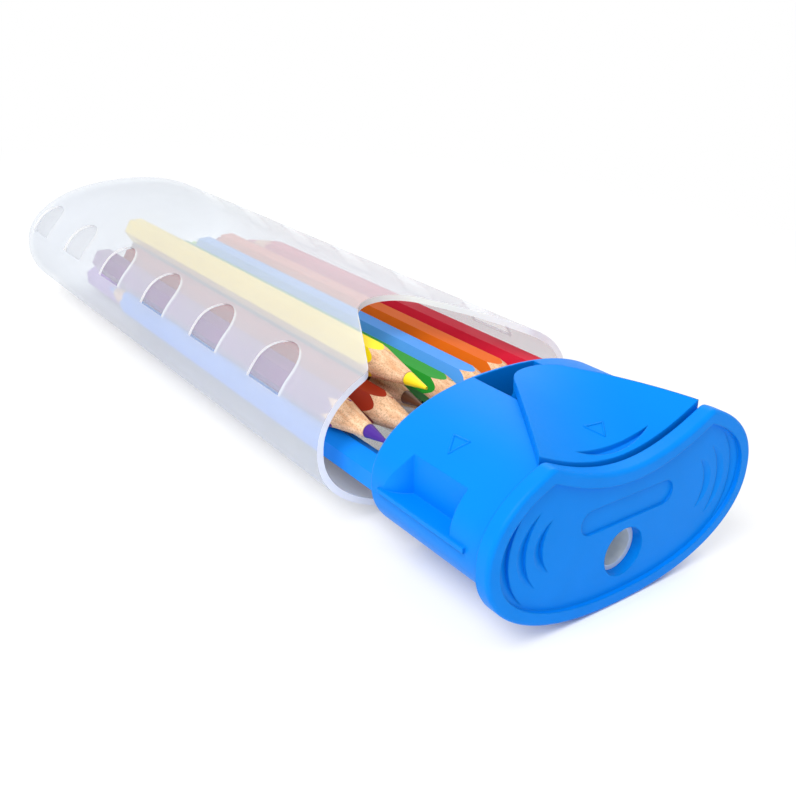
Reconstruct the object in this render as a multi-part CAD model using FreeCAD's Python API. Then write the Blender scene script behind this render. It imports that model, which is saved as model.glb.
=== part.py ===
"""Pencil case with a pull-out sharpener cap and a set of colour pencils.

The cap is drawn as it stands when pulled clear of the case, with its shavings lid shut.
X runs along the case toward the cap, Z is up, and the case rests on the plane Z = 0.
"""
import math
import os

import FreeCAD
import Part
from FreeCAD import Vector

os.makedirs("parts", exist_ok=True)

# Case, all sizes in millimetres
case_width = 75.0
case_oval_height = 41.6
oval_power = 2.19
resting_flat_depth = 0.5
case_length = 210.0
case_wall = 1.6
case_rear_wall = 2.3
case_rear_radius = 10.5
scoop_half_width = 23.9
scoop_vertex_length = 43.0
scoop_end_radius = 11.0
scoop_lip_radius = 2.5

# Windows thinned into both upper sides of the case
window_count = 6
window_first = 27.1
window_pitch = 32.7
window_width = 15.2
window_rise = 12.7
window_depth = 0.7
window_foot_level = 6.8

# Cap
pull_out = 52.9
seating_gap = 0.3
flange_thickness = 3.5
flange_inset = 0.4
flange_rim_width = 3.0
flange_field_depth = 1.0
flange_corner_radius = 2.6
flange_edge_radius = 0.9
plug_inset = 2.7
plug_length = 37.1
plug_wall = 2.0
plug_rear_wall = 1.6
plug_rear_radius = 1.4

# Grip pockets in the two sides of the plug
pocket_front = 10.4
pocket_length = 16.6
pocket_rear_run = 7.0
pocket_back_depth = 4.2
pocket_blend_radius = 6.0
pocket_crossing = 0.3
pocket_floor_level = 0.6
pocket_wall = 1.6
rail_front = 5.6
rail_length = 27.6
rail_thickness = 1.2
rail_stand_off = 0.6

# Front panel details
pencil_hole_diameter = 10.8
pencil_hole_level = -8.8
plaque_level = 1.4
plaque_length = 26.0
plaque_height = 5.4
plaque_depth = 0.5
ripple_count = 3
ripple_outer = 31.4
ripple_pitch = 4.2
ripple_half_height = 10.6
ripple_half_height_step = 2.4
ripple_bulge = 4.1
ripple_bulge_step = 1.0
ripple_width = 2.2
ripple_depth = 0.9

# Shavings lid
lid_half_width = 22.6
lid_vertex_length = 35.4
lid_end_radius = 8.5
lid_dip = 9.9
lid_thickness = 2.3
lid_side_gap = 0.35
lid_seat_gap = 0.4
lid_front_gap = 1.0
lid_ledge = 1.8
nail_slot_setback = 0.9
nail_slot_half_length = 10.2
nail_slot_width = 1.5
nail_slot_depth = 1.1

# Lid hinge
hinge_setback = 22.5
hinge_depth = 3.3
hinge_pin_diameter = 1.5
hinge_running_gap = 0.06
hinge_barrel_diameter = 4.0
hinge_barrel_half_length = 7.0
hinge_web_thickness = 3.0
well_half_width = 8.6
well_floor_level = 2.0
lug_width = 2.2
lug_end_wall = 1.2
lug_height = 3.6
lug_length = 4.6

# Wedge sharpener
sharpener_length = 25.0
sharpener_width = 15.4
sharpener_height = 12.0
sharpener_collar = 4.0
sharpener_entry_diameter = 8.6
sharpener_exit_diameter = 2.4
sharpener_waist_depth = 1.6
sharpener_waist_length = 15.0
blade_length = 20.0
blade_width = 7.6
blade_thickness = 0.7
blade_bevel_width = 1.05
blade_slot_depth = 0.7
blade_screw_diameter = 2.6
blade_screw_head_diameter = 5.0
blade_screw_head_height = 1.4
blade_screw_head_round = 0.84
blade_screw_slot_width = 0.7
blade_screw_slot_depth = 0.63
blade_screw_length = 5.0
screw_gap = 0.05
cradle_rib_thickness = 1.6
cradle_rib_length = 15.0
cradle_rib_rise = 3.0

# Pencils
pencil_across_flats = 7.3
pencil_gap = 0.33
pencil_row_gap = 0.6
pencil_cone_length = 20.0
pencil_tip_radius = 0.35
lead_diameter = 3.2
lead_gap = 0.02
pencil_end_play = 0.6
pencil_rear_gap_share = 0.9
pencil_rest_gap = 1.6
top_row = ("red", "orange", "light_blue", "green", "brown", "rust", "purple")
middle_row = ("crimson", "lime", "black", "teal", "grey", "dark_blue")
bottom_row = ("ochre", "mint", "pink", "violet")
lower_row_pitch = 10.6
loose_pencil = "yellow"
loose_pencil_y = -12.4
turned_round = ("red", "dark_blue")
middle_row_set_back = 25.0
bottom_row_set_back = 44.0
top_row_set_back = {"brown": 14.0, "purple": 4.0}
loose_set_back = 8.3

# Drawing aids: reach of cutters past a surface, edge matching and fineness of curves
overshoot = 1.0
match = 1e-3
search_step = 0.05
oval_points = 48
dome_sections = 6
saddle_points = 28
saddle_reach_share = 1.22
lid_stations = 12
lid_reach_share = 1.02

# Places worked out from the sizes above
overall_length = flange_thickness + pull_out + case_length
half_width = case_width / 2
half_height = case_oval_height / 2
axis_level = half_height - resting_flat_depth
flange_front_x = overall_length / 2
flange_back_x = flange_front_x - flange_thickness
plug_rear_x = flange_back_x - plug_length
mouth_x = flange_back_x - pull_out
case_rear_x = mouth_x - case_length
cap_travel = pull_out - seating_gap
lid_front_x = flange_back_x - lid_front_gap
sharpener_rear_x = flange_back_x - sharpener_length
pencil_hole_z = axis_level + pencil_hole_level
cavity_inset = plug_inset + plug_wall
pencil_corner_radius = pencil_across_flats / math.sqrt(3)
closed_plug_rear_x = plug_rear_x - cap_travel
inner_rear_radius = case_rear_radius - case_rear_wall
rounding = math.acos(1 - pencil_rear_gap_share * pencil_gap / inner_rear_radius)
pencil_rear_clearance = inner_rear_radius * (1 - math.sin(rounding))
pencil_rear_limit = case_rear_x + case_rear_wall + pencil_rear_clearance
pencil_length = closed_plug_rear_x - pencil_end_play - pencil_rear_limit
pencil_front_x = plug_rear_x - pencil_rest_gap
row_pitch = 2 * pencil_corner_radius + pencil_gap
saddle_reach = saddle_reach_share * lid_half_width
tall = 2 * case_oval_height
x_axis = Vector(1, 0, 0)
y_axis = Vector(0, 1, 0)
z_axis = Vector(0, 0, 1)


def oval_top(y, inset=0.0):
    """Height of the oval above the case axis at a distance y from the middle."""
    reach = min(1.0, abs(y) / (half_width - inset))
    return (half_height - inset) * (1 - reach ** oval_power) ** (1 / oval_power)


def oval_wire(x, inset):
    """Closed oval outline at one station along the case."""
    points = []
    for step in range(oval_points):
        angle = 2 * math.pi * step / oval_points
        across = math.cos(angle)
        up = math.sin(angle)
        y = math.copysign(abs(across) ** (2 / oval_power), across) * (half_width - inset)
        z = math.copysign(abs(up) ** (2 / oval_power), up) * (half_height - inset)
        points.append(Vector(x, y, axis_level + z))
    curve = Part.BSplineCurve()
    curve.interpolate(points, PeriodicFlag=True)
    return Part.Wire([curve.toShape()])


def oval_prism(x_from, x_to, inset):
    """Straight length of oval bar."""
    return Part.Face(oval_wire(x_from, inset)).extrude(Vector(x_to - x_from, 0, 0))


def domed_oval(x_open, x_end, inset, radius):
    """Oval bar whose far end is rounded over by a radius."""
    sections = []
    for step in range(dome_sections + 1):
        turn = math.pi / 2 * step / dome_sections
        station = x_end + radius * (1 - math.sin(turn))
        sections.append(oval_wire(station, inset + radius * (1 - math.cos(turn))))
    dome = Part.makeLoft(sections, True, False)
    return oval_prism(x_open, x_end + radius, inset).fuse(dome).removeSplitter()


def box(x_from, x_to, y_from, y_to, z_from, z_to):
    """Block between two corners."""
    corner = Vector(min(x_from, x_to), min(y_from, y_to), min(z_from, z_to))
    return Part.makeBox(abs(x_to - x_from), abs(y_to - y_from), abs(z_to - z_from), corner)


def shield(x_front, front_half_width, vertex_length, end_radius, grow, front_reach):
    """Tall prism with a shield outline: wide at the front, rounded to a point behind.

    The outline can be grown or shrunk evenly, and its front end can reach forward.
    """
    lean = math.atan2(front_half_width, vertex_length)
    half = front_half_width + grow / math.cos(lean)
    vertex_x = x_front - vertex_length - grow / math.sin(lean)
    reach_half = half + front_reach * math.tan(lean)
    corners = [
        Vector(x_front + front_reach, reach_half, -tall),
        Vector(vertex_x, 0, -tall),
        Vector(x_front + front_reach, -reach_half, -tall),
    ]
    prism = Part.Face(Part.makePolygon(corners + corners[:1])).extrude(Vector(0, 0, 3 * tall))
    point = [edge for edge in prism.Edges if abs(edge.CenterOfMass.x - vertex_x) < match]
    return prism.makeFillet(end_radius + grow, point)


def above(level):
    """Everything over a level, wide enough to trim any cutter."""
    far = overall_length
    return box(-far, far, -far, far, level, tall)


def mirror_y(shape):
    """The same shape on the other side of the case."""
    return shape.mirror(Vector(0, 0, 0), y_axis)


def write(name, shape):
    """Save one named piece as a single clean solid."""
    solid = shape.removeSplitter()
    if solid.ShapeType != "Solid":
        solid = max(solid.Solids, key=lambda piece: piece.Volume)
    solid.exportStep("parts/" + name + ".step")


def resting_cut(shape):
    """Take the underside off at the table so that the oval rests on a flat."""
    far = overall_length
    return shape.cut(box(-far, far, -far, far, -far, 0))


def make_window(centre_x):
    """Arched cutter square to the upper side of the case, flat along its foot."""
    foot_y = -half_width * (1 - (window_foot_level / half_height) ** oval_power) ** (1 / oval_power)
    foot = Vector(centre_x, foot_y, axis_level + window_foot_level)
    head_y = foot_y
    while math.hypot(head_y - foot_y, oval_top(head_y) - window_foot_level) < window_rise:
        head_y += search_step
    slope = Vector(0, head_y - foot_y, oval_top(head_y) - window_foot_level).normalize()
    outward = slope.cross(x_axis)
    if outward.y > 0:
        outward = outward * -1
    half = window_width / 2
    spring = foot + slope * (window_rise - half)
    left_foot = foot - x_axis * half
    right_foot = foot + x_axis * half
    left_spring = spring - x_axis * half
    right_spring = spring + x_axis * half
    crown = Part.Arc(right_spring, spring + slope * half, left_spring).toShape()
    outline = Part.Wire([
        Part.makeLine(left_foot, right_foot),
        Part.makeLine(right_foot, right_spring),
        crown,
        Part.makeLine(left_spring, left_foot),
    ])
    face = Part.Face(outline)
    face.translate(outward * -window_width)
    return face.extrude(outward * 2 * window_width)


def make_case():
    """Frosted tube: domed rear, open mouth, scooped top and thinned windows."""
    outer = resting_cut(domed_oval(mouth_x, case_rear_x, 0.0, case_rear_radius))
    inner = domed_oval(mouth_x + overshoot, case_rear_x + case_rear_wall, case_wall, inner_rear_radius)
    tube = outer.cut(inner)
    scoop = shield(mouth_x, scoop_half_width, scoop_vertex_length, scoop_end_radius, 0.0, overshoot)
    tube = tube.cut(scoop.common(above(axis_level)))
    lips = []
    for edge in tube.Edges:
        middle = edge.CenterOfMass
        on_mouth = abs(middle.x - mouth_x) < match
        if on_mouth and abs(abs(middle.y) - scoop_half_width) < match and middle.z > axis_level:
            lips.append(edge)
    tube = tube.makeFillet(scoop_lip_radius, lips)
    skin = oval_prism(case_rear_x, mouth_x, -overshoot)
    skin = skin.cut(oval_prism(case_rear_x, mouth_x, window_depth))
    for index in range(window_count):
        recess = make_window(mouth_x - window_first - window_pitch * index).common(skin)
        tube = tube.cut(recess)
        tube = tube.cut(mirror_y(recess))
    return tube


def saddle_height(y):
    """Front edge of the lid: the oval with a smooth dip pressed into its top."""
    return axis_level + oval_top(y) - lid_dip * (1 - (y / lid_half_width) ** 2)


def saddle_cutter(drop):
    """Everything above the dipped edge, across the thickness of the front panel."""
    points = []
    for step in range(saddle_points + 1):
        y = saddle_reach * (2 * step / saddle_points - 1)
        points.append(Vector(flange_back_x - overshoot, y, saddle_height(y) - drop))
    curve = Part.BSplineCurve()
    curve.interpolate(points)
    ceiling = axis_level + case_oval_height
    right_top = Vector(points[-1].x, points[-1].y, ceiling)
    left_top = Vector(points[0].x, points[0].y, ceiling)
    outline = Part.Wire([
        curve.toShape(),
        Part.makeLine(points[-1], right_top),
        Part.makeLine(right_top, left_top),
        Part.makeLine(left_top, points[0]),
    ])
    return Part.Face(outline).extrude(Vector(flange_thickness + 2 * overshoot, 0, 0))


def lid_slab(top_offset, thickness):
    """Slab whose top runs from the dipped front edge up to the round of the case.

    Every cross-section has the same curve and climbs toward the rear, which keeps
    both straight edges of the lid flush with the outside of the closed case.
    """
    rows = []
    for station in range(lid_stations + 1):
        along = lid_reach_share * lid_vertex_length * station / lid_stations
        climb = lid_dip * (1 - (1 - along / lid_vertex_length) ** 2)
        row = []
        for step in range(saddle_points + 1):
            y = saddle_reach * (2 * step / saddle_points - 1)
            row.append(Vector(flange_back_x - along, y, saddle_height(y) + climb + top_offset))
        rows.append(row)
    surface = Part.BSplineSurface()
    surface.interpolate(rows)
    return surface.toShape().extrude(Vector(0, 0, -thickness))


def lid_outline(grow, front_reach):
    """Plan of the lid, grown or shrunk evenly."""
    return shield(lid_front_x, lid_half_width, lid_vertex_length, lid_end_radius, grow, front_reach)


def hinge_place():
    """Middle of the hinge line."""
    climb = lid_dip * (1 - (1 - hinge_setback / lid_vertex_length) ** 2)
    return Vector(lid_front_x - hinge_setback, 0, saddle_height(0) + climb - hinge_depth)


def hinge_rod(diameter, half_length):
    """Round bar on the hinge line."""
    start = hinge_place() - y_axis * half_length
    return Part.makeCylinder(diameter / 2, 2 * half_length, start, y_axis)


def make_lid():
    """Shield-shaped cover of the shavings chamber, with a nail slot and hinge barrel."""
    lid = lid_slab(0.0, lid_thickness).common(lid_outline(-lid_side_gap, 0.0))
    slot_x = lid_front_x - nail_slot_setback - nail_slot_width
    radius = (nail_slot_half_length ** 2 + nail_slot_width ** 2) / (2 * nail_slot_width)
    lens = Part.makeCylinder(radius, tall, Vector(slot_x + nail_slot_width - radius, 0, 0), z_axis)
    lens = lens.common(box(slot_x, lid_front_x, -lid_half_width, lid_half_width, 0, tall))
    lid = lid.cut(lid_slab(overshoot, nail_slot_depth + overshoot).common(lens))
    place = hinge_place()
    web = box(
        place.x - hinge_web_thickness / 2,
        place.x + hinge_web_thickness / 2,
        -hinge_barrel_half_length,
        hinge_barrel_half_length,
        place.z,
        place.z + hinge_depth - lid_thickness / 2,
    )
    lid = lid.fuse([web, hinge_rod(hinge_barrel_diameter, hinge_barrel_half_length)])
    bore = hinge_rod(hinge_pin_diameter + 2 * hinge_running_gap, hinge_barrel_half_length + overshoot)
    return lid.cut(bore)


def pocket_prism(grow):
    """Plan of one grip pocket: square at the front, with a rounded pillar behind."""
    depth = pocket_back_depth + pocket_crossing
    pillar_radius = (pocket_rear_run ** 2 + depth ** 2) / (2 * depth)
    outer_y = -(half_width - plug_inset) - pocket_crossing
    rear_x = flange_back_x - pocket_front - pocket_length - pocket_rear_run
    centre = Vector(rear_x, outer_y + pillar_radius, 0)
    front_x = flange_back_x - pocket_front + grow
    back_y = outer_y + depth + grow
    radius = pillar_radius - grow
    turn = math.acos((centre.y - back_y) / radius)
    corner = centre + Vector(math.sin(turn), -math.cos(turn), 0) * radius
    middle = centre + Vector(math.sin(turn / 2), -math.cos(turn / 2), 0) * radius
    end = centre - y_axis * radius
    outer_rear = Vector(rear_x, -case_width, 0)
    outer_front = Vector(front_x, -case_width, 0)
    inner_front = Vector(front_x, back_y, 0)
    outline = Part.Wire([
        Part.makeLine(inner_front, corner),
        Part.Arc(corner, middle, end).toShape(),
        Part.makeLine(end, outer_rear),
        Part.makeLine(outer_rear, outer_front),
        Part.makeLine(outer_front, inner_front),
    ])
    prism = Part.Face(outline).extrude(Vector(0, 0, case_oval_height))
    prism.translate(Vector(0, 0, axis_level + pocket_floor_level - grow))
    return prism


def pocket_profile():
    """Cross-section of one grip pocket: upright back wall that rolls over into the shoulder."""
    back_y = -(half_width - plug_inset - pocket_back_depth)
    floor_z = axis_level + pocket_floor_level
    shoulder = []
    for step in range(oval_points):
        y = -(half_width - plug_inset) * step / oval_points
        shoulder.append(Vector(0, y, axis_level + oval_top(y, plug_inset)))
    centre = Vector(0, back_y + pocket_blend_radius, floor_z)
    reach = pocket_blend_radius
    while reach > pocket_blend_radius - pocket_crossing / 2:
        centre.z += search_step
        nearest = min(shoulder, key=lambda spot: spot.distanceToPoint(centre))
        reach = nearest.distanceToPoint(centre)
    outward = (nearest - centre).normalize()
    bisector = (outward - y_axis).normalize()
    foot = centre - y_axis * pocket_blend_radius
    crest = centre + outward * pocket_blend_radius
    wall_foot = Vector(0, back_y, floor_z)
    outer_foot = Vector(0, -case_width, floor_z)
    outer_crest = Vector(0, -case_width, crest.z)
    outline = Part.Wire([
        Part.makeLine(outer_foot, wall_foot),
        Part.makeLine(wall_foot, foot),
        Part.Arc(foot, centre + bisector * pocket_blend_radius, crest).toShape(),
        Part.makeLine(crest, outer_crest),
        Part.makeLine(outer_crest, outer_foot),
    ])
    return Part.Face(outline).extrude(Vector(overall_length, 0, 0))


def make_flange():
    """Bean-shaped front panel: raised rim, sunk field, plaque, ripples and pencil hole."""
    panel = oval_prism(flange_back_x, flange_front_x, flange_inset).cut(saddle_cutter(0.0))
    ridges = []
    for edge in panel.Edges:
        middle = edge.CenterOfMass
        along = abs(edge.Length - flange_thickness) < match
        if along and middle.z > axis_level and abs(middle.y) > lid_half_width / 2:
            ridges.append(edge)
    panel = panel.makeFillet(flange_corner_radius, ridges)
    front = [edge for edge in panel.Edges if abs(edge.CenterOfMass.x - flange_front_x) < match]
    panel = panel.makeFillet(flange_edge_radius, front)
    field_x = flange_front_x - flange_field_depth
    field = oval_prism(field_x, flange_front_x + overshoot, flange_inset + flange_rim_width)
    panel = panel.cut(field.cut(saddle_cutter(flange_rim_width)))
    flat = plaque_length / 2 - plaque_height / 2
    plaque_z = axis_level + plaque_level
    start = Vector(field_x - plaque_depth, 0, plaque_z)
    plaque_radius = plaque_height / 2
    plaque_reach = plaque_depth + overshoot
    plaque = box(
        start.x, start.x + plaque_reach, -flat, flat, plaque_z - plaque_radius, plaque_z + plaque_radius
    )
    for side in (-flat, flat):
        end = Part.makeCylinder(plaque_radius, plaque_reach, start + y_axis * side, x_axis)
        plaque = plaque.fuse(end)
    panel = panel.cut(plaque)
    for index in range(ripple_count):
        half_chord = ripple_half_height - ripple_half_height_step * index
        inner_bulge = ripple_bulge - ripple_bulge_step * index
        outer_bulge = inner_bulge + ripple_width
        inner_radius = (half_chord ** 2 + inner_bulge ** 2) / (2 * inner_bulge)
        outer_radius = (half_chord ** 2 + outer_bulge ** 2) / (2 * outer_bulge)
        edge_y = ripple_outer - ripple_pitch * index
        inner = Vector(field_x - flange_thickness, edge_y - inner_radius, axis_level)
        outer = Vector(field_x, edge_y + ripple_width - outer_radius, axis_level)
        slope = Part.makeCone(outer_radius, outer_radius - ripple_width, ripple_depth, outer, x_axis * -1)
        ripple = slope.cut(Part.makeCylinder(inner_radius, 2 * flange_thickness, inner, x_axis))
        panel = panel.cut(ripple)
        panel = panel.cut(mirror_y(ripple))
    return panel


def make_cap():
    """Plug and front panel in one moulding, with pockets, rails, lid seat and cradle."""
    plug = domed_oval(flange_back_x + overshoot, plug_rear_x, plug_inset, plug_rear_radius)
    cavity = oval_prism(flange_back_x, plug_rear_x + plug_rear_wall, cavity_inset)
    pocket = pocket_prism(0.0).common(pocket_profile())
    housing = pocket_prism(pocket_wall)
    cavity = cavity.cut(housing).cut(mirror_y(housing))
    plug = plug.cut(pocket).cut(mirror_y(pocket))
    rail_x = flange_back_x - rail_front
    rail = oval_prism(rail_x - rail_length, rail_x, plug_inset - rail_stand_off)
    floor_z = axis_level + pocket_floor_level
    rail_reach = half_width - plug_inset - pocket_back_depth - pocket_wall
    rail_foot = floor_z - rail_thickness
    strip = box(-overall_length, overall_length, -half_width, -rail_reach, rail_foot, floor_z)
    rail = rail.common(strip)
    cap = plug.fuse([make_flange(), rail, mirror_y(rail)])
    cap = cap.cut(saddle_cutter(0.0)).cut(cavity)
    place = hinge_place()
    sharpener_floor = pencil_hole_z - sharpener_height / 2
    sharpener_side = sharpener_width / 2
    cradle = []
    for side in (-1, 1):
        inner_y = side * sharpener_side
        outer_y = side * (sharpener_side + cradle_rib_thickness)
        rib_top = pencil_hole_z + cradle_rib_rise
        cradle.append(box(flange_back_x, flange_back_x - cradle_rib_length, inner_y, outer_y, 0, rib_top))
        cradle.append(box(
            place.x - lug_length / 2,
            place.x + lug_length / 2,
            side * well_half_width,
            side * (well_half_width + lug_width + lug_end_wall),
            place.z - lug_height / 2,
            place.z + lug_height,
        ))
    cradle.append(box(flange_back_x, sharpener_rear_x, -sharpener_side, sharpener_side, 0, sharpener_floor))
    inside = oval_prism(
        flange_back_x + overshoot, plug_rear_x + plug_rear_wall / 2, plug_inset + plug_wall / 2
    )
    for piece in cradle:
        cap = cap.fuse(piece.common(inside))
    opening = lid_outline(-lid_side_gap - lid_ledge, -2 * lid_ledge)
    well = box(
        plug_rear_x + plug_rear_wall,
        place.x + lug_length,
        -well_half_width,
        well_half_width,
        0,
        tall,
    )
    upper = above(axis_level + well_floor_level)
    cap = cap.cut(opening.common(upper))
    cap = cap.cut(well.common(upper))
    clear_above = lid_dip + lid_thickness
    seat = lid_slab(clear_above, clear_above + lid_thickness + lid_seat_gap)
    seat = seat.common(lid_outline(0.0, lid_front_gap))
    cap = cap.cut(seat)
    cap = cap.cut(hinge_rod(hinge_pin_diameter, well_half_width + lug_width))
    hole_start = Vector(flange_back_x - overshoot, 0, pencil_hole_z)
    hole_length = flange_thickness + 2 * overshoot
    hole = Part.makeCylinder(pencil_hole_diameter / 2, hole_length, hole_start, x_axis)
    return resting_cut(cap.cut(hole))


def make_hinge_pin():
    """Steel rod on which the lid turns."""
    return hinge_rod(hinge_pin_diameter, well_half_width + lug_width)


def blade_frame():
    """Front end and direction of the sloping face on which the blade lies."""
    fall = (sharpener_entry_diameter - sharpener_exit_diameter) / 2
    slope = Vector(-sharpener_length, 0, -fall).normalize()
    start_z = pencil_hole_z + sharpener_entry_diameter / 2 - blade_slot_depth
    return Vector(flange_back_x, 0, start_z) + slope * sharpener_collar, slope


def screw_axis(depth_from_face):
    """Point on the blade screw's axis at a depth below the sloping face."""
    start, slope = blade_frame()
    normal = y_axis.cross(slope)
    if normal.z < 0:
        normal = normal * -1
    middle = start + slope * blade_length / 2 + y_axis * blade_width / 2
    return middle - normal * depth_from_face, normal


def make_sharpener():
    """Metal wedge with a tapered bore, a sloping top and a gripped waist."""
    half = sharpener_width / 2
    floor_z = pencil_hole_z - sharpener_height / 2
    block = box(sharpener_rear_x, flange_back_x, -half, half, floor_z, floor_z + sharpener_height)
    shelf, slope = blade_frame()
    end = shelf + slope * 2 * sharpener_length
    high = Vector(0, 0, sharpener_height)
    outline = [shelf, end, end + high, shelf + high, shelf]
    wedge = Part.Face(Part.makePolygon(outline)).extrude(Vector(0, sharpener_width, 0))
    wedge.translate(Vector(0, -half, 0))
    bore = Part.makeCone(
        sharpener_entry_diameter / 2,
        sharpener_exit_diameter / 2,
        sharpener_length,
        Vector(flange_back_x, 0, pencil_hole_z),
        x_axis * -1,
    )
    body = block.cut(wedge).cut(bore)
    radius = (sharpener_waist_length ** 2 / 4 + sharpener_waist_depth ** 2) / (2 * sharpener_waist_depth)
    for side in (-1, 1):
        centre_y = side * (half - sharpener_waist_depth + radius)
        centre = Vector(flange_back_x - sharpener_length / 2, centre_y, floor_z - overshoot)
        body = body.cut(Part.makeCylinder(radius, sharpener_height + 2 * overshoot, centre, z_axis))
    foot, normal = screw_axis(blade_screw_length)
    hole_radius = blade_screw_diameter / 2 + screw_gap
    hole = Part.makeCylinder(hole_radius, blade_screw_length + overshoot, foot, normal)
    return body.cut(hole)


def make_blade():
    """Thin cutting plate whose edge lies along the top of the tapered bore."""
    corner, slope = blade_frame()
    foot, normal = screw_axis(0.0)
    outline = [
        corner,
        corner + slope * blade_length,
        corner + slope * blade_length + y_axis * blade_width,
        corner + y_axis * blade_width,
        corner,
    ]
    plate = Part.Face(Part.makePolygon(outline)).extrude(normal * blade_thickness)
    bevel_top = corner + normal * blade_thickness
    bevel = Part.Face(Part.makePolygon([
        corner, bevel_top, bevel_top + y_axis * blade_bevel_width, corner
    ])).extrude(slope * blade_length)
    plate = plate.cut(bevel)
    hole_radius = blade_screw_diameter / 2 + screw_gap
    hole_start = foot - normal * overshoot
    hole = Part.makeCylinder(hole_radius, blade_thickness + 2 * overshoot, hole_start, normal)
    return plate.cut(hole)


def make_blade_screw():
    """Screw that clamps the blade: plain shank and a domed, slotted head."""
    foot, normal = screw_axis(blade_screw_length)
    seat, normal = screw_axis(-blade_thickness)
    shank_length = blade_screw_length + blade_thickness + blade_screw_head_height / 4
    shank = Part.makeCylinder(blade_screw_diameter / 2, shank_length, foot, normal)
    head = Part.makeCylinder(blade_screw_head_diameter / 2, blade_screw_head_height, seat, normal)
    rounds = [edge for edge in head.Edges if len(edge.Vertexes) == 1]
    rim = max(rounds, key=lambda edge: edge.CenterOfMass.z)
    head = head.makeFillet(blade_screw_head_round, [rim])
    slot = box(
        seat.x - blade_screw_head_diameter,
        seat.x + blade_screw_head_diameter,
        seat.y - blade_screw_slot_width / 2,
        seat.y + blade_screw_slot_width / 2,
        seat.z + blade_screw_head_height - blade_screw_slot_depth,
        seat.z + 2 * blade_screw_head_height,
    )
    return shank.fuse(head.cut(slot))


def cone_shape(outer_radius, cut_radius):
    """Turned outline shared by wood and lead, with its point at the origin."""
    taper = (pencil_corner_radius - pencil_tip_radius) / pencil_cone_length
    start_x = -(outer_radius - pencil_tip_radius) / taper
    end_x = -(cut_radius - pencil_tip_radius) / taper
    outline = [
        Vector(-pencil_length, 0, 0),
        Vector(-pencil_length, 0, outer_radius),
        Vector(start_x, 0, outer_radius),
        Vector(end_x, 0, cut_radius),
        Vector(end_x, 0, 0),
        Vector(-pencil_length, 0, 0),
    ]
    return Part.Face(Part.makePolygon(outline)).revolve(Vector(0, 0, 0), x_axis, 360)


def make_barrel(corner_up):
    """Painted wooden barrel with six flats, sharpened to a scalloped cone."""
    corners = []
    for index in range(7):
        angle = math.radians(60 * index + (30 if corner_up else 0))
        across = pencil_corner_radius * math.cos(angle)
        up = pencil_corner_radius * math.sin(angle)
        corners.append(Vector(-pencil_length, across, up))
    bar = Part.Face(Part.makePolygon(corners)).extrude(Vector(pencil_length, 0, 0))
    bore_radius = lead_diameter / 2 + lead_gap
    barrel = bar.common(cone_shape(pencil_corner_radius, bore_radius))
    core_start = Vector(-pencil_length - overshoot, 0, 0)
    core = Part.makeCylinder(bore_radius, pencil_length + 2 * overshoot, core_start, x_axis)
    return barrel.cut(core)


def make_lead():
    """Coloured core, pointed at the sharpened end."""
    return cone_shape(lead_diameter / 2, pencil_tip_radius)


def write_pencil(name, y, z, set_back, corner_up):
    """Save the wood and the lead of one pencil at its place in the case."""
    for suffix, piece in (("_wood", make_barrel(corner_up)), ("_lead", make_lead())):
        if name in turned_round:
            piece.rotate(Vector(-pencil_length / 2, 0, 0), z_axis, 180)
        piece.translate(Vector(pencil_front_x - set_back, y, z))
        write("pencil_" + name + suffix, piece)


def lowest_ridge(y):
    """Height of the lowest ridge of a pencil on the curved case floor."""
    outermost = lower_row_pitch * (len(bottom_row) - 1) / 2
    return axis_level - oval_top(min(abs(y), outermost), case_wall) + pencil_gap


def write_row(names, pitch, height, set_back, corner_up):
    """Save one layer of pencils, each at the height that its place in the row gives."""
    for index, name in enumerate(names):
        y = pitch * ((len(names) - 1) / 2 - index)
        behind = 0.0 if name in turned_round else set_back
        write_pencil(name, y, height(y), top_row_set_back.get(name, behind), corner_up)


def write_pencils():
    """Stack three layers on the case floor and lay one loose pencil on top."""
    layer = 2 * pencil_corner_radius + pencil_row_gap
    outer_ridge = lowest_ridge(half_width)
    top_z = outer_ridge + 2 * layer + pencil_across_flats / 2
    loose_z = top_z + pencil_across_flats + pencil_gap
    write_row(bottom_row, lower_row_pitch, lambda y: lowest_ridge(y) + pencil_corner_radius,
              bottom_row_set_back, True)
    write_row(middle_row, lower_row_pitch, lambda y: lowest_ridge(y) + pencil_corner_radius + layer,
              middle_row_set_back, True)
    write_row(top_row, row_pitch, lambda y: top_z, 0.0, False)
    write_pencil(loose_pencil, loose_pencil_y, loose_z, loose_set_back, False)


write("case_tube", make_case())
write("cap_body", make_cap())
write("shavings_lid", make_lid())
write("lid_hinge_pin", make_hinge_pin())
write("sharpener_body", make_sharpener())
write("sharpener_blade", make_blade())
write("blade_screw", make_blade_screw())
write_pencils()
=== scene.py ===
"""Looks for the pencil case: frosted tube, blue cap with its lid, metal sharpener, pencils."""

import math

import bmesh
import bpy
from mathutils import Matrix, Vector
from mathutils.bvhtree import BVHTree


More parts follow.
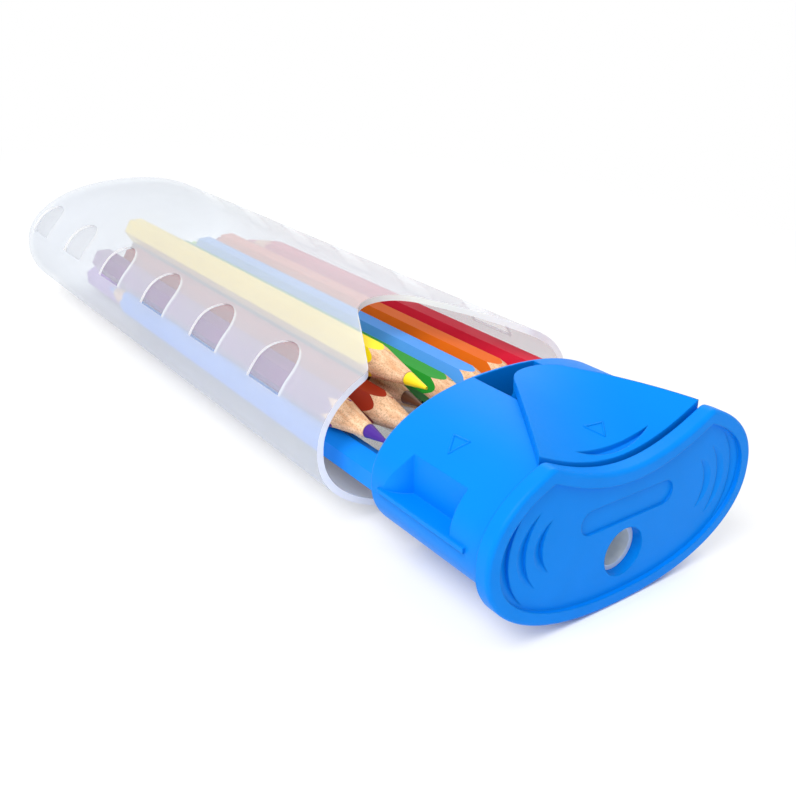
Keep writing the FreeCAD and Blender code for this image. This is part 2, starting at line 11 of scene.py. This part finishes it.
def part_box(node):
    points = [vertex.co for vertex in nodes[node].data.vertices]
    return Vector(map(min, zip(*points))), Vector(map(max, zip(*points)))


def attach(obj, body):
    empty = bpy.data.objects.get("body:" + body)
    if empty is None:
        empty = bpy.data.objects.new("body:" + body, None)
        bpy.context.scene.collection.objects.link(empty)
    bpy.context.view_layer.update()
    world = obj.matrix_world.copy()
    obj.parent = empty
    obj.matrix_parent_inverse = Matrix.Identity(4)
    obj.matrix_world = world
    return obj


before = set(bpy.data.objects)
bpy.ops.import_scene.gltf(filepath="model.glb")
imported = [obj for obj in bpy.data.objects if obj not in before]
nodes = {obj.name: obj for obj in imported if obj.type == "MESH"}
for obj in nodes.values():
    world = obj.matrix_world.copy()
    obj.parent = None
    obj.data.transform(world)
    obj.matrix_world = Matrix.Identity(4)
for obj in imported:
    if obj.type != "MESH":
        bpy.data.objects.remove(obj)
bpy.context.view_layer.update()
MM = 0.001

# View that the photograph was taken from, with its place measured from the front of the cap
CAMERA_FROM_CAP = (0.10805, -0.13642, 0.12043)
CAMERA_TURN = (66.02, -0.745, 54.1)
CAMERA_CLIP_START = 0.01
FOCAL_LENGTH_PIXELS = 990
IMAGE_WIDTH_PIXELS = 796
SENSOR_WIDTH = 36

# Oval of the case and front of the cap, read from the frame
case_low, case_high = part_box("case_tube")
cap_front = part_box("cap_body")[1].x
OVAL_POWER = 2.19
RESTING_FLAT_DEPTH = 0.5 * MM
CASE_REAR_RADIUS = 10.5 * MM
half_width = (case_high.y - case_low.y) / 2
half_height = (case_high.z - case_low.z + RESTING_FLAT_DEPTH) / 2
axis_level = half_height - RESTING_FLAT_DEPTH

# Colours, written as 0 to 255 on the screen
PENCIL_COLOURS = {
    "red": (206, 30, 58),
    "orange": (226, 104, 14),
    "light_blue": (84, 158, 240),
    "green": (38, 148, 48),
    "pink": (236, 120, 165),
    "rust": (165, 52, 30),
    "purple": (116, 34, 122),
    "crimson": (165, 22, 48),
    "lime": (150, 205, 50),
    "black": (32, 32, 34),
    "teal": (10, 140, 140),
    "grey": (140, 142, 146),
    "dark_blue": (10, 136, 244),
    "ochre": (196, 144, 50),
    "mint": (150, 220, 185),
    "brown": (110, 66, 38),
    "violet": (150, 90, 185),
    "yellow": (252, 222, 4),
}
CORE_COLOURS = {**PENCIL_COLOURS, "purple": (66, 6, 140)}
WOOD_PALE = (246, 208, 170)
WOOD_DARK = (220, 164, 120)
BLUE_PLASTIC = (0, 130, 230)
FROSTED_WHITE = (232, 238, 246)
STEEL = (206, 208, 210)
ALLOY = (228, 234, 234)
PAPER_WHITE = (250, 250, 250)
WHITE = (255, 255, 255)

# Milky plastic: share of light that each kind of surface scatters, and how the kinds are told apart
SKIN_VEIL = 0.42
WINDOW_VEIL = 0.24
INSIDE_VEIL = 0.22
CUT_EDGE_VEIL = 0.92
OUTSIDE_REACH = 0.97
WINDOW_REACH = 0.925
FLUSH_START = 0.84
FLUSH_END = 0.94

# Pencils: faces that lean along the pencil by more than this are bare wood
BARE_WOOD_LEAN = 0.08

# Plain direction triangles moulded on the cap, in millimetres back from its front and across
SHOULDER_TRIANGLE = ((-26.2, -24.2), (-21.8, -23.9), (-23.5, -27.7))
LID_TRIANGLE = ((-12.3, -2.7), (-11.9, 2.2), (-9.0, 0.0))
TRIANGLE_STEPS = 14
TRIANGLE_HALF_WIDTH = 0.26 * MM
TRIANGLE_RISE = 0.16 * MM
RIDGE_SIDES = 8

# Stage: the floor keeps its shade under the part and turns white with the distance from it
FLOOR_SIZE = 30
SHADE_END = 0.012
WHITE_START = 0.03
NEAR_WHITE_SHARE = 0.6
NEAR_DISTANCE = 0.02
FAR_DISTANCE = 0.3
SKY_LIGHT = 0.64
LAMP_TARGET = (0.03, 0, 0.02)

# Sockets of Blender's colour mix, whose names repeat: factor, two colours, result
MIX_FACTOR, MIX_FIRST, MIX_SECOND, MIX_RESULT = 0, 6, 7, 2


def linear(colour, gain=1.0):
    """Screen colour as light, by the sRGB rule, made stronger by a gain."""
    channels = []
    for value in colour:
        part = value / 255
        part = part / 12.92 if part <= 0.04045 else ((part + 0.055) / 1.055) ** 2.4
        channels.append(min(1.0, part * gain))
    return (*channels, 1.0)


def new_material(name):
    """New material; returns it with its node tree and its one shader."""
    material = bpy.data.materials.new(name)
    material.use_nodes = True
    tree = material.node_tree
    return material, tree, tree.nodes["Principled BSDF"]


def link(tree, source, target):
    """Join an output socket to an input socket."""
    tree.links.new(source, target)


def feed(tree, value, target):
    """Give an input socket a value, or join it to an output socket."""
    if isinstance(value, bpy.types.NodeSocket):
        link(tree, value, target)
    else:
        target.default_value = value


def node(tree, kind, **inputs):
    """New node; inputs are given by socket name, with spaces as underscores."""
    made = tree.nodes.new(kind)
    for name, value in inputs.items():
        feed(tree, value, made.inputs[name.replace("_", " ")])
    return made


def maths(tree, operation, first, second=0.0):
    """One sum; returns its output socket."""
    made = tree.nodes.new("ShaderNodeMath")
    made.operation = operation
    for socket, value in zip(made.inputs, (first, second)):
        feed(tree, value, socket)
    return made.outputs[0]


def noise(tree, scale, stretch=(1, 1, 1), detail=3.0):
    """Noise in the object's own place; returns its value socket."""
    place = tree.nodes.new("ShaderNodeTexCoord")
    mapping = node(tree, "ShaderNodeMapping", Vector=place.outputs["Object"], Scale=stretch)
    made = node(
        tree, "ShaderNodeTexNoise", Vector=mapping.outputs[0], Scale=scale, Detail=detail
    )
    return made.outputs["Fac"]


def span(tree, value, low, high, start=0.0, end=1.0):
    """Move a value from the range start to end to the range low to high; returns its socket."""
    made = node(
        tree, "ShaderNodeMapRange",
        Value=value, From_Min=start, From_Max=end, To_Min=low, To_Max=high,
    )
    return made.outputs[0]


def blend(tree, factor, first, second):
    """Mix two colours, given as values or sockets; returns the colour socket."""
    made = tree.nodes.new("ShaderNodeMix")
    made.data_type = "RGBA"
    for index, value in ((MIX_FACTOR, factor), (MIX_FIRST, first), (MIX_SECOND, second)):
        feed(tree, value, made.inputs[index])
    return made.outputs[MIX_RESULT]


def surface_relief(tree, shader, height, distance, strength, edge_radius=0.0):
    """Fine relief on a surface, with its edges softened where a radius is given."""
    bump = node(tree, "ShaderNodeBump", Height=height, Strength=strength, Distance=distance)
    if edge_radius:
        edge = node(tree, "ShaderNodeBevel", Radius=edge_radius)
        edge.samples = 6
        link(tree, edge.outputs[0], bump.inputs["Normal"])
    link(tree, bump.outputs[0], shader.inputs["Normal"])


def blue_plastic():
    """Moulded blue plastic: even colour with slight flow marks and a satin skin."""
    material, tree, shader = new_material("blue_plastic")
    flow = noise(tree, scale=45, stretch=(1, 2.5, 2.5))
    colour = blend(tree, flow, linear(BLUE_PLASTIC, gain=0.94), linear(BLUE_PLASTIC, gain=1.05))
    link(tree, colour, shader.inputs["Base Color"])
    skin = noise(tree, scale=1400, detail=2.0)
    link(tree, span(tree, skin, low=0.36, high=0.48), shader.inputs["Roughness"])
    shader.inputs["Specular IOR Level"].default_value = 0.07
    surface_relief(tree, shader, skin, distance=0.02 * MM, strength=0.25, edge_radius=0.45 * MM)
    return material


def oval_place(tree):
    """Sockets for a place on the case: reach in its oval, flushness and length along it.

    Reach is 1 on the outside. Flushness is 1 on faces that follow the oval, 0 on cuts across it.
    """
    place = tree.nodes.new("ShaderNodeTexCoord")
    parts = node(tree, "ShaderNodeSeparateXYZ", Vector=place.outputs["Object"])
    geometry = tree.nodes.new("ShaderNodeNewGeometry")
    facing = node(tree, "ShaderNodeSeparateXYZ", Vector=geometry.outputs["True Normal"])
    level = maths(tree, "SUBTRACT", parts.outputs["Z"], axis_level)
    reach = 0.0
    slope = 0.0
    outward = 0.0
    for position, half, normal in (
        (parts.outputs["Y"], half_width, facing.outputs["Y"]),
        (level, half_height, facing.outputs["Z"]),
    ):
        share = maths(tree, "DIVIDE", maths(tree, "ABSOLUTE", position), half)
        lean = maths(tree, "POWER", share, OVAL_POWER - 1)
        lean = maths(tree, "DIVIDE", lean, half / half_width)
        reach = maths(tree, "ADD", maths(tree, "POWER", share, OVAL_POWER), reach)
        slope = maths(tree, "ADD", maths(tree, "MULTIPLY", lean, lean), slope)
        part = maths(tree, "MULTIPLY", maths(tree, "ABSOLUTE", normal), lean)
        outward = maths(tree, "ADD", part, outward)
    flush = maths(tree, "DIVIDE", outward, maths(tree, "SQRT", slope))
    return reach, flush, parts.outputs["X"]


def frosted_plastic():
    """Milky see-through plastic, clearer where the windows thin the wall; cut edges show white."""
    material, tree, shader = new_material("frosted_plastic")
    reach, flush, along = oval_place(tree)
    rounded_rear = maths(tree, "LESS_THAN", along, case_low.x + CASE_REAR_RADIUS)
    outside = maths(tree, "GREATER_THAN", reach, OUTSIDE_REACH)
    outside = maths(tree, "MAXIMUM", outside, rounded_rear)
    window = maths(tree, "GREATER_THAN", reach, WINDOW_REACH)
    skin = span(tree, flush, low=0.0, high=1.0, start=FLUSH_START, end=FLUSH_END)
    skin = maths(tree, "MAXIMUM", skin, rounded_rear)
    cloud = noise(tree, scale=30)
    colour = blend(tree, cloud, linear(FROSTED_WHITE, gain=0.96), linear(FROSTED_WHITE))
    link(tree, blend(tree, skin, linear(WHITE), colour), shader.inputs["Base Color"])
    grain = noise(tree, scale=2600, detail=2.0)
    rough = span(tree, outside, low=0.35, high=0.55)
    rough = maths(tree, "ADD", rough, span(tree, grain, low=-0.04, high=0.04))
    link(tree, rough, shader.inputs["Roughness"])
    veil = span(tree, window, low=INSIDE_VEIL, high=WINDOW_VEIL)
    veil = maths(tree, "ADD", veil, maths(tree, "MULTIPLY", outside, SKIN_VEIL - WINDOW_VEIL))
    veil = maths(tree, "MULTIPLY", veil, span(tree, cloud, low=0.96, high=1.04))
    cut_edge = maths(tree, "MULTIPLY", maths(tree, "SUBTRACT", 1.0, skin), CUT_EDGE_VEIL)
    link(tree, maths(tree, "MAXIMUM", veil, cut_edge), shader.inputs["Alpha"])
    shader.inputs["Specular IOR Level"].default_value = 0.3
    surface_relief(tree, shader, grain, distance=0.02 * MM, strength=0.3)
    return material


def metal(name, colour, stretch, smoothest, roughest, metallic):
    """Machined metal with fine marks along the cut."""
    material, tree, shader = new_material(name)
    marks = noise(tree, scale=400, stretch=stretch, detail=4.0)
    shade = blend(tree, marks, linear(colour, gain=0.85), linear(colour))
    link(tree, shade, shader.inputs["Base Color"])
    link(tree, span(tree, marks, low=smoothest, high=roughest), shader.inputs["Roughness"])
    shader.inputs["Metallic"].default_value = metallic
    surface_relief(tree, shader, marks, distance=0.03 * MM, strength=0.3)
    return material


def painted_wood(name, colour):
    """Glossy paint on the flats; bare speckled wood on the cone and on the flat end."""
    material, tree, shader = new_material("painted_" + name)
    geometry = tree.nodes.new("ShaderNodeNewGeometry")
    facing = node(tree, "ShaderNodeSeparateXYZ", Vector=geometry.outputs["True Normal"])
    bare = maths(tree, "ABSOLUTE", facing.outputs["X"])
    bare = maths(tree, "GREATER_THAN", bare, BARE_WOOD_LEAN)
    grain = noise(tree, scale=900, stretch=(0.12, 1, 1), detail=4.0)
    streak = span(tree, grain, low=0.0, high=1.0, start=0.35, end=0.7)
    wood = blend(tree, streak, linear(WOOD_PALE), linear(WOOD_DARK))
    speck = noise(tree, scale=3400, stretch=(0.7, 1, 1), detail=2.0)
    speck = span(tree, speck, low=0.0, high=0.5, start=0.48, end=0.64)
    wood = blend(tree, speck, wood, linear(WOOD_DARK, gain=0.5))
    coat_marks = noise(tree, scale=120, stretch=(0.2, 1, 1))
    paint = blend(tree, coat_marks, linear(colour, gain=0.92), linear(colour, gain=1.04))
    link(tree, blend(tree, bare, paint, wood), shader.inputs["Base Color"])
    link(tree, span(tree, bare, low=0.42, high=0.80), shader.inputs["Roughness"])
    shader.inputs["Specular IOR Level"].default_value = 0.1
    bare_grain = maths(tree, "MULTIPLY", grain, bare)
    surface_relief(
        tree, shader, bare_grain, distance=0.1 * MM, strength=0.5, edge_radius=0.25 * MM
    )
    return material


def coloured_core(name, colour):
    """Waxy pigment core, slightly scuffed."""
    material, tree, shader = new_material("core_" + name)
    scuff = noise(tree, scale=900, stretch=(0.3, 1, 1))
    pigment = blend(tree, scuff, linear(colour, gain=0.85), linear(colour, gain=1.05))
    link(tree, pigment, shader.inputs["Base Color"])
    link(tree, span(tree, scuff, low=0.38, high=0.55), shader.inputs["Roughness"])
    surface_relief(tree, shader, scuff, distance=0.05 * MM, strength=0.4)
    return material


def dress(obj, material):
    """Give an object one material."""
    obj.data.materials.clear()
    obj.data.materials.append(material)


def dress_nodes():
    """Materials for every solid of the frame; returns the plastic of the cap."""
    blue = blue_plastic()
    steel = metal(
        "steel", STEEL, stretch=(0.2, 1, 1), smoothest=0.18, roughest=0.30, metallic=1.0
    )
    alloy = metal(
        "alloy", ALLOY, stretch=(1, 1, 1), smoothest=0.40, roughest=0.55, metallic=0.2
    )
    dress(nodes["case_tube"], frosted_plastic())
    dress(nodes["cap_body"], blue)
    dress(nodes["shavings_lid"], blue)
    dress(nodes["sharpener_body"], alloy)
    for name in ("sharpener_blade", "blade_screw", "lid_hinge_pin"):
        dress(nodes[name], steel)
    for name, colour in PENCIL_COLOURS.items():
        dress(nodes["pencil_" + name + "_wood"], painted_wood(name, colour))
        dress(nodes["pencil_" + name + "_lead"], coloured_core(name, CORE_COLOURS[name]))
    return blue


def raised_triangle(name, corners, body, solid, material):
    """Slim moulded ridge round a triangle, laid on a solid and moving with its body."""
    surface = BVHTree.FromObject(nodes[solid], bpy.context.evaluated_depsgraph_get())
    spots = []
    for start, end in zip(corners, corners[1:] + corners[:1]):
        for step in range(TRIANGLE_STEPS):
            along = Vector(start).lerp(Vector(end), step / TRIANGLE_STEPS) * MM
            above = Vector((cap_front + along.x, along.y, 2 * case_high.z))
            hit, normal = surface.ray_cast(above, Vector((0, 0, -1)))[:2]
            spots.append((hit, normal))
    mesh = bmesh.new()
    rings = []
    for index, (spot, normal) in enumerate(spots):
        ahead = spots[(index + 1) % len(spots)][0]
        side = (ahead - spots[index - 1][0]).cross(normal).normalized()
        ring = []
        for turn in range(RIDGE_SIDES):
            angle = 2 * math.pi * turn / RIDGE_SIDES
            across = side * math.cos(angle) * TRIANGLE_HALF_WIDTH
            rise = normal * math.sin(angle) * TRIANGLE_RISE
            ring.append(mesh.verts.new(spot + (across + rise)))
        rings.append(ring)
    for ring, following in zip(rings, rings[1:] + rings[:1]):
        for turn in range(RIDGE_SIDES):
            after = (turn + 1) % RIDGE_SIDES
            corners_of_face = (ring[turn], ring[after], following[after], following[turn])
            mesh.faces.new(corners_of_face).smooth = True
    bmesh.ops.recalc_face_normals(mesh, faces=mesh.faces)
    data = bpy.data.meshes.new(name)
    mesh.to_mesh(data)
    mesh.free()
    ridge = bpy.data.objects.new(name, data)
    bpy.context.scene.collection.objects.link(ridge)
    dress(ridge, material)
    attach(ridge, body)


def studio_white(tree, lit, white, share):
    """White that the lens, gloss and glass see, mixed over a lit shader; returns the mix."""
    path = tree.nodes.new("ShaderNodeLightPath")
    seen = maths(tree, "ADD", path.outputs["Is Camera Ray"], path.outputs["Is Glossy Ray"])
    seen = maths(tree, "ADD", seen, path.outputs["Is Transmission Ray"])
    seen = maths(tree, "MINIMUM", seen, 1.0)
    mix = node(tree, "ShaderNodeMixShader", Fac=maths(tree, "MULTIPLY", seen, share))
    for index, shader in enumerate((lit, white), 1):
        link(tree, shader, mix.inputs[index])
    return mix.outputs[0]


def floor_white_share(tree):
    """Share of white on the floor, by the distance from the line under the part."""
    place = tree.nodes.new("ShaderNodeTexCoord")
    parts = node(tree, "ShaderNodeSeparateXYZ", Vector=place.outputs["Object"])
    past_end = maths(tree, "SUBTRACT", maths(tree, "ABSOLUTE", parts.outputs["X"]), cap_front)
    past_end = maths(tree, "MAXIMUM", past_end, 0.0)
    aside = parts.outputs["Y"]
    squares = maths(
        tree, "ADD",
        maths(tree, "MULTIPLY", past_end, past_end), maths(tree, "MULTIPLY", aside, aside),
    )
    apart = maths(tree, "SQRT", squares)
    clear = span(tree, apart, low=0.0, high=1.0, start=SHADE_END, end=WHITE_START)
    fade = span(
        tree, apart, low=NEAR_WHITE_SHARE, high=1.0, start=NEAR_DISTANCE, end=FAR_DISTANCE
    )
    return maths(tree, "MULTIPLY", clear, fade)


def build_floor():
    """Pale paper floor that keeps the shadow near the part."""
    bpy.ops.mesh.primitive_plane_add(size=FLOOR_SIZE)
    floor = bpy.context.object
    floor.name = "floor"
    material, tree, shader = new_material("floor")
    paper = noise(tree, scale=3)
    colour = blend(tree, paper, linear(PAPER_WHITE), linear(WHITE))
    link(tree, colour, shader.inputs["Base Color"])
    shader.inputs["Roughness"].default_value = 0.9
    shader.inputs["Specular IOR Level"].default_value = 0.0
    glow = node(tree, "ShaderNodeEmission", Strength=1.0)
    mix = studio_white(tree, shader.outputs[0], glow.outputs[0], floor_white_share(tree))
    link(tree, mix, tree.nodes["Material Output"].inputs[0])
    dress(floor, material)


def build_surroundings():
    """White surroundings that give an even light."""
    world = bpy.data.worlds.new("studio")
    bpy.context.scene.world = world
    world.use_nodes = True
    tree = world.node_tree
    light = tree.nodes["Background"]
    light.inputs["Color"].default_value = linear(WHITE)
    light.inputs["Strength"].default_value = SKY_LIGHT
    backdrop = node(tree, "ShaderNodeBackground", Color=linear(WHITE), Strength=1.0)
    mix = studio_white(tree, light.outputs[0], backdrop.outputs[0], 1.0)
    link(tree, mix, tree.nodes["World Output"].inputs[0])


def add_lamp(name, place, size, power):
    """Square soft lamp aimed at the middle of the case."""
    data = bpy.data.lights.new(name, "AREA")
    data.size = size
    data.energy = power
    lamp = bpy.data.objects.new(name, data)
    lamp.location = place
    aim = Vector(LAMP_TARGET) - lamp.location
    lamp.rotation_euler = aim.to_track_quat("-Z", "Y").to_euler()
    bpy.context.scene.collection.objects.link(lamp)


def add_camera():
    """Camera of the photograph."""
    data = bpy.data.cameras.new("camera")
    data.sensor_fit = "HORIZONTAL"
    data.sensor_width = SENSOR_WIDTH
    data.lens = FOCAL_LENGTH_PIXELS / IMAGE_WIDTH_PIXELS * SENSOR_WIDTH
    data.clip_start = CAMERA_CLIP_START
    camera = bpy.data.objects.new("camera", data)
    camera.location = Vector((cap_front, 0, 0)) + Vector(CAMERA_FROM_CAP)
    camera.rotation_euler = [math.radians(angle) for angle in CAMERA_TURN]
    bpy.context.scene.collection.objects.link(camera)
    bpy.context.scene.camera = camera


bpy.context.scene.view_settings.view_transform = "Standard"
blue = dress_nodes()
raised_triangle("shoulder_triangle", SHOULDER_TRIANGLE, "cap", "cap_body", blue)
raised_triangle("lid_triangle", LID_TRIANGLE, "lid", "shavings_lid", blue)
build_floor()
build_surroundings()
add_lamp("key", place=(0.26, -0.46, 0.75), size=0.45, power=6.3)
add_lamp("back", place=(-0.5, 0.5, 0.6), size=0.5, power=1.5)
add_camera()
